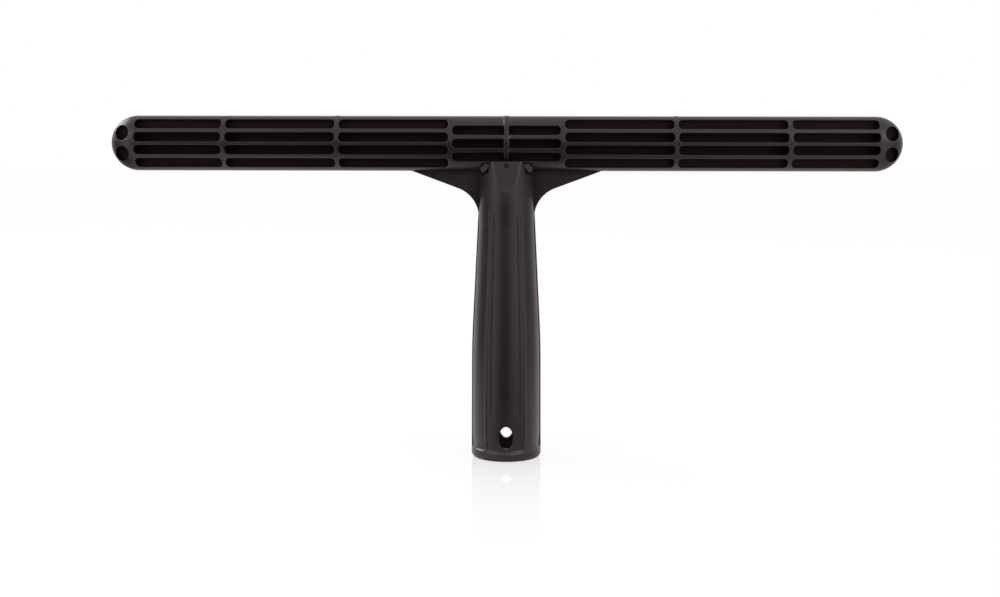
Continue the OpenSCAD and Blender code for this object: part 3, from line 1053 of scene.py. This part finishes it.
def gripHeights():
    # heights of the grid's rows, closer together at the foot, the collar and the neck's shoulder
    top = hanging["blockTop"]
    shoulder = underside - neck["shoulderDrop"]
    footArc = [roundedStep(handleSize["footRound"], turn)[0] for turn in range(0, 91, 15)]
    below = rowsOf([(2.5, 5.2, 0.2), (5.6, top, 0.6)])
    above = rowsOf([
        (top + 1, 107, 1.5),
        (108, shoulder - 2.4, 0.45),
        (shoulder - 2.3, shoulder + 0.3, 0.2),
        (shoulder + 0.6, neckTop - neck["topRound"] - 0.2, 0.45),
    ])
    return footArc + below + [top] + above


def ovalOutline(grow, directions):
    # points on the grown oval, one for each direction from its middle
    across = hanging["width"] / 2 + grow
    up = hanging["height"] / 2 + grow
    power = hanging["squareness"]
    found = []
    for dx, dz in directions:
        reach = (abs(dx / across) ** power + abs(dz / up) ** power) ** (-1 / power)
        found.append((dx * reach, dz * reach + hanging["middle"]))
    return found


def turnFrom(facing, turn):
    return (turn - facing + 180) % 360 - 180


def blockBorder(turns, lowRow, highRow, facing):
    # the block of the grid that a hole replaces: the cells round it, and its columns
    columns = [i for i, t in enumerate(turns) if abs(turnFrom(facing, t)) <= hanging["blockAngle"] + 0.01]
    columns.sort(key=lambda i: turnFrom(facing, turns[i]))
    border = [(lowRow, c) for c in columns]
    border += [(r, columns[-1]) for r in range(lowRow + 1, highRow + 1)]
    border += [(highRow, c) for c in reversed(columns[:-1])]
    border += [(r, columns[0]) for r in range(highRow - 1, lowRow, -1)]
    return border, columns[:-1]


def ringsToHole(shape, ring, spread, skin, facing, rim):
    # from the block's border in to the oval; the spread is the border's turns and heights
    outer = [(skinRadius(skin, turn + facing, z) * math.radians(turn), z) for turn, z in spread]
    directions = [(s, z - hanging["middle"]) for s, z in outer]
    inner = []
    for x, z in ovalOutline(rim, directions):
        radius = skinRadius(skin, facing, z)
        inner.append((radius * math.asin(x / radius), z))
    for t in (0.34, 0.62, 0.84, 1.0):
        points = []
        for (s1, z1), (s2, z2) in zip(outer, inner):
            s, z = s1 + (s2 - s1) * t, z1 + (z2 - z1) * t
            turn = facing + math.degrees(s / skinRadius(skin, facing, z))
            points.append(skin(np.array([turn]), z)[0][0])
        ring = addBand(shape, ring, points)
    return directions, ring


def skinWithHoles(shape, turns, heights, skin, rim):
    # a grid round the handle with the oval hole left open in front and behind
    grid = [addRing(shape, *skin(np.array(turns), z)) for z in heights]
    room = hanging["height"] / 2 + (hanging["rimRadius"] + hanging["blockRoom"])
    lowRow = max(i for i, z in enumerate(heights) if z < hanging["middle"] - room)
    highRow = max(i for i, z in enumerate(heights) if z <= hanging["blockTop"] + 1e-6)
    blocks = [(facing, *blockBorder(turns, lowRow, highRow, facing)) for facing in (0, 180)]
    opened = {c for _, _, columns in blocks for c in columns}
    for r in range(len(heights) - 1):
        for c in range(len(turns)):
            if not (lowRow <= r < highRow and c in opened):
                d = (c + 1) % len(turns)
                shape["faces"].append((grid[r][c], grid[r][d], grid[r + 1][d], grid[r + 1][c]))
    holes = []
    for facing, border, _ in blocks:
        ring = [grid[r][c] for r, c in border]
        spread = [(turnFrom(facing, turns[c]), heights[r]) for r, c in border]
        holes.append((facing, *ringsToHole(shape, ring, spread, skin, facing, rim)))
    return grid, holes


def handleShape():
    shape = newShape()
    turns = gripTurns()
    heights = gripHeights()
    outerGrid, outerHoles = skinWithHoles(shape, turns, heights, outerSkin, hanging["rimRadius"])
    # painted shade on the neck's sides
    for row, z in zip(outerGrid, heights):
        shape["shade"].update((i, float(amount)) for i, amount in zip(row, neckPaintedShade(turns, z)) if amount > 0)
    outerFaces = len(shape["faces"])
    innerHeights = [0.0, handleSize["leadIn"]] + [z for z in heights if 2.4 < z <= hanging["blockTop"] + 1e-6]
    innerHeights += rowsOf([(24, 50, 6)]) + [handleSize["socketDepth"]]
    innerHeights += list(np.linspace(handleSize["socketDepth"], hollowTop, 9)[1:])
    innerGrid, innerHoles = skinWithHoles(shape, turns, innerHeights, innerSkin, 0.0)
    shape["faces"].append(tuple(innerGrid[-1]))
    # the hollow inside takes the bore's paler copy of the plastic, painted light
    shape["deep"].update(range(outerFaces, len(shape["faces"])))
    bridge(shape, outerGrid[0], innerGrid[0])

    # rim and wall of the hanging hole, straight through front and back
    for (facing, directions, ring), (_, _, innerRing) in zip(outerHoles, innerHoles):
        sign = 1 if facing == 0 else -1
        for turn in (22.5, 45, 67.5, 90):
            sunk, grown = roundedStep(hanging["rimRadius"], turn)
            points = []
            for x, z in ovalOutline(grown, directions):
                depth = math.sqrt(float(gripRadius(facing, z)[0]) ** 2 - x ** 2) - sunk
                points.append((sign * x, -sign * depth, z))
            ring = addBand(shape, ring, points, hanging["rimWearAndHighlight"])
        bridge(shape, ring, innerRing)

    # rounded top of the neck
    ring = outerGrid[-1]
    for turn in (0, 30, 60, 90):
        inset, drop = roundedStep(neck["topRound"], turn)
        radius = gripRadius(np.array(turns), neckTop - drop)[0] - inset
        ring = addBand(shape, ring, turnedPoints(turns, radius, neckTop - drop), neck["topWearAndHighlight"])
    shape["faces"].append(tuple(ring))
    return shape


# The cuts: the fork's slot for the plate, and a shallow round recess over each end of the neck pin

sink = {
    "rise": (1.0, -0.05, -0.2, -0.4),  # heights over the flat, from outside down to the bottom
    "radius": (1.64, 1.14, 0.98, 0.84),
    # the recess is marked rubbed, which also paints it paler as a highlight
    "wearAndHighlight": 0.8,
}
roundTurns = np.radians(np.arange(0, 360, 11.25))


def roundRing(x, y, z, radius):
    return [(x + radius * math.cos(a), y, z + radius * math.sin(a)) for a in roundTurns]


def slotForPlate():
    half = halfPlate + neck["forkGap"]
    corners = [(-40, -half), (40, -half), (40, half), (-40, half)]
    return tubeShape([[(x, y, z) for x, y in corners] for z in (plateLow.z - neck["forkGap"], neckTop + 5)])


def sinkShape(side):
    low, high = boxInMm("neck_pin")
    middle = (low.z + high.z) / 2
    surface = neck["topDepth"] + (neckTop - middle) * flatSlope
    steps = zip(sink["rise"], sink["radius"])
    return tubeShape([roundRing(0.0, side * (surface + rise), middle, r) for rise, r in steps], sink["wearAndHighlight"])


handle = makePiece("moulded_handle", handleShape(), handlePlastic, ["handle"], hollowPaintedLightPlastic)
cutOrJoin(handle, makePiece("fork", slotForPlate(), handlePlastic), "DIFFERENCE")
for side in (-1, 1):
    cutOrJoin(handle, makePiece("sink", sinkShape(side), handlePlastic), "DIFFERENCE")
print("moulded_handle has", len(handle.data.polygons), "faces")


# Cross pins with slightly domed ends

pins = {
    "pin_left": ("left_pin", -pinX),
    "pin_centre": ("centre_pin", 0.0),
    "pin_right": ("right_pin", pinX),
    "pin_neck": ("neck_pin", 0.0),
}
pinEnd = {"round": 0.18, "dome": 0.05, "domeShare": 0.3}


def pinShape(node, x):
    low, high = boxInMm(node)
    radius = (high.z - low.z) / 2
    middle = (high.z + low.z) / 2
    profile = [(high.y, pinEnd["domeShare"] * radius)]
    for turn in (90, 60, 30, 0):
        inset, drop = roundedStep(pinEnd["round"], turn)
        profile.append((high.y - pinEnd["dome"] - drop, radius - inset))
    profile += [(-y, r) for y, r in reversed(profile)]
    return tubeShape([roundRing(x, y, middle, r) for y, r in profile])


for name, (node, x) in pins.items():
    makePiece(name, pinShape(node, x), pinPlastic, [node])
print("pins ready")


# Floor, light and camera

room = {
    "sky": 0.95,
    "tint": (1.0, 0.965, 0.99),
    "lowTo": (0.05, 0.2),  # the dim parts end at this height above the horizon
}
# dim parts of the room: degrees from the front, how dim near that middle and away from it,
# and how far from the object the floor turns dim, which on the floor is painted shade in its colour; one with
# floorTo is on the floor only
dimParts = [
    {"middle": -6.0, "half": (12.0, 32.0), "near": 0.96, "away": 0.0, "floorFrom": (0.025, 0.11)},
    {"middle": -95.0, "half": (10.0, 38.0), "near": 0.85, "away": 0.0, "floorFrom": (0.12, 0.3)},
    {"middle": 95.0, "half": (10.0, 38.0), "near": 0.55, "away": 0.0, "floorFrom": (0.12, 0.3)},
    {"middle": 0.0, "half": (100.0, 140.0), "near": 0.0, "away": 0.2, "floorFrom": (0.03, 0.12)},
    {"middle": 8.0, "half": (30.0, 75.0), "near": 0.7, "away": 0.0, "floorFrom": (0.02, 0.05),
     "floorTo": (0.1, 0.3)},
]


def dimShare(tree, direction, distance=None):
    # how dim the room is in a direction, from 0 to 1; with a distance it is the floor's share
    split = addNode(tree, "ShaderNodeSeparateXYZ", Vector=direction).outputs
    turn = mathNode(tree, "ARCTAN2", split["X"], mathNode(tree, "MULTIPLY", split["Y"], -1.0))
    total = None
    for dimPart in dimParts:
        if distance is None and "floorTo" in dimPart:
            continue
        away = mathNode(tree, "SUBTRACT", turn, math.radians(dimPart["middle"]))
        half = [math.radians(degrees) for degrees in dimPart["half"]]
        amount = rangeNode(tree, mathNode(tree, "ABSOLUTE", away), half, (dimPart["near"], dimPart["away"]))
        if distance is not None:
            amount = mathNode(tree, "MULTIPLY", amount, rangeNode(tree, distance, dimPart["floorFrom"]))
            if "floorTo" in dimPart:
                last = rangeNode(tree, distance, dimPart["floorTo"], (1.0, 0.0))
                amount = mathNode(tree, "MULTIPLY", amount, last)
        total = amount if total is None else mathNode(tree, "MAXIMUM", total, amount)
    return total


def seenDirectly(tree, shinyShare):
    # 1 for what the camera sees, straight or through something clear, and a share of it in reflections
    path = addNode(tree, "ShaderNodeLightPath").outputs
    straight = mathNode(tree, "MAXIMUM", path["Is Camera Ray"], path["Is Transmission Ray"])
    shiny = mathNode(tree, "MULTIPLY", path["Is Glossy Ray"], shinyShare)
    return mathNode(tree, "MAXIMUM", straight, shiny)


floorLook = {
    "half": 6.0,
    "colour": 0.97,
    "shadowShare": 0.12,
    "white": 1.0,
    "gloss": 0.2,
    "glossRoughness": 0.05,
    "glossReach": 0.06,
    "tint": (1.0, 0.95, 0.94),
    "shinyShare": 0.05,
}


def whiteFloor():
    half = floorLook["half"]
    mesh = bpy.data.meshes.new("floor")
    corners = [(-half, -half, 0), (half, -half, 0), (half, half, 0), (-half, half, 0)]
    mesh.from_pydata(corners, [], [(0, 1, 2, 3)])
    floor = bpy.data.objects.new("floor", mesh)
    bpy.context.scene.collection.objects.link(floor)
    material = bpy.data.materials.new("whiteFloor")
    material.use_nodes = True
    tree = material.node_tree
    tree.nodes.clear()
    place = addNode(tree, "ShaderNodeTexCoord").outputs["Object"]
    distance = addNode(tree, "ShaderNodeVectorMath", operation="LENGTH", Vector=place).outputs["Value"]

    # what the camera sees: white with a soft shadow and a reflection that fades away from the foot
    white = addNode(tree, "ShaderNodeEmission", Color=(1, 1, 1, 1), Strength=floorLook["white"])
    shaded = addNode(tree, "ShaderNodeBsdfDiffuse", Color=(floorLook["colour"],) * 3 + (1,))
    seen = mixShaders(tree, floorLook["shadowShare"], white.outputs[0], shaded.outputs[0])
    gloss = addNode(tree, "ShaderNodeBsdfGlossy", Color=(1, 1, 1, 1), Roughness=floorLook["glossRoughness"])
    fade = mathNode(tree, "EXPONENT", mathNode(tree, "DIVIDE", distance, -floorLook["glossReach"]))
    full = floorLook["gloss"] * math.exp(footRadius * mm / floorLook["glossReach"])
    seen = mixShaders(tree, mathNode(tree, "MULTIPLY", fade, full, use_clamp=True), seen, gloss.outputs[0])

    # what lights the object: the same floor, its colour darkened away from the lamps as painted shade, and
    # tinted warm
    bright = mathNode(tree, "SUBTRACT", 1.0, dimShare(tree, place, distance))
    tone = mathNode(tree, "MULTIPLY", bright, floorLook["colour"])
    warm = addNode(tree, "ShaderNodeVectorMath", operation="SCALE", Vector=floorLook["tint"], Scale=tone)
    plain = addNode(tree, "ShaderNodeBsdfDiffuse", Color=warm.outputs[0])
    surface = mixShaders(tree, seenDirectly(tree, floorLook["shinyShare"]), plain.outputs[0], seen)
    addNode(tree, "ShaderNodeOutputMaterial", Surface=surface)
    mesh.materials.append(material)


def whiteRoom():
    world = bpy.data.worlds.new("whiteRoom")
    bpy.context.scene.world = world
    world.use_nodes = True
    tree = world.node_tree
    tree.nodes.clear()
    place = addNode(tree, "ShaderNodeTexCoord").outputs["Generated"]
    height = addNode(tree, "ShaderNodeSeparateXYZ", Vector=place).outputs["Z"]
    low = rangeNode(tree, height, room["lowTo"], (1.0, 0.0))
    dim = mathNode(tree, "MULTIPLY", dimShare(tree, place), low)
    strength = mathNode(tree, "MULTIPLY", mathNode(tree, "SUBTRACT", 1.0, dim), room["sky"])
    lit = addNode(tree, "ShaderNodeBackground", Color=(*room["tint"], 1), Strength=strength)
    white = addNode(tree, "ShaderNodeBackground", Color=(1, 1, 1, 1), Strength=1.0)
    surface = mixShaders(tree, seenDirectly(tree, 0.0), lit.outputs[0], white.outputs[0])
    addNode(tree, "ShaderNodeOutputWorld", Surface=surface)


lamps = {
    "lampRight": {"at": (0.95, -1.1, 0.95), "size": (0.95, 1.05), "radiance": 2.0},
    "lampLeft": {"at": (-1.05, -0.95, 0.8), "size": (0.75, 0.9), "radiance": 1.6},
    "lampBehind": {"at": (-1.22, 0.62, 0.95), "size": (0.8, 0.6), "radiance": 5.5},
}


def addLamp(name, lamp):
    light = bpy.data.lights.new(name, "AREA")
    light.shape = "RECTANGLE"
    light.size, light.size_y = lamp["size"]
    light.energy = lamp["radiance"] * math.pi * light.size * light.size_y
    holder = bpy.data.objects.new(name, light)
    bpy.context.scene.collection.objects.link(holder)
    holder.location = lamp["at"]
    target = Vector((0, 0, barMid * mm))
    holder.rotation_euler = (target - holder.location).to_track_quat("-Z", "Y").to_euler()


view = {
    "distance": 0.6717,
    "height": 0.144,
    "turn": 0.35,  # a little to the right of the front
    "pitch": 6.16,
    "roll": -0.09,
    "focal": 1.5093,  # focal length as a share of the picture's width
    "shiftX": -0.00665,
}


def addCamera():
    lens = bpy.data.cameras.new("camera")
    lens.sensor_width = 36
    lens.lens = view["focal"] * lens.sensor_width
    lens.shift_x = view["shiftX"]
    lens.clip_start = 0.01
    camera = bpy.data.objects.new("camera", lens)
    bpy.context.scene.collection.objects.link(camera)
    turn = math.radians(view["turn"])
    camera.location = (view["distance"] * math.sin(turn), -view["distance"] * math.cos(turn), view["height"])
    camera.rotation_euler = (math.radians(90 - view["pitch"]), math.radians(view["roll"]), turn)
    bpy.context.scene.camera = camera


whiteFloor()
whiteRoom()
for name, lamp in lamps.items():
    addLamp(name, lamp)
addCamera()
bpy.context.scene.view_settings.view_transform = "Standard"
print("floor, light and camera ready")
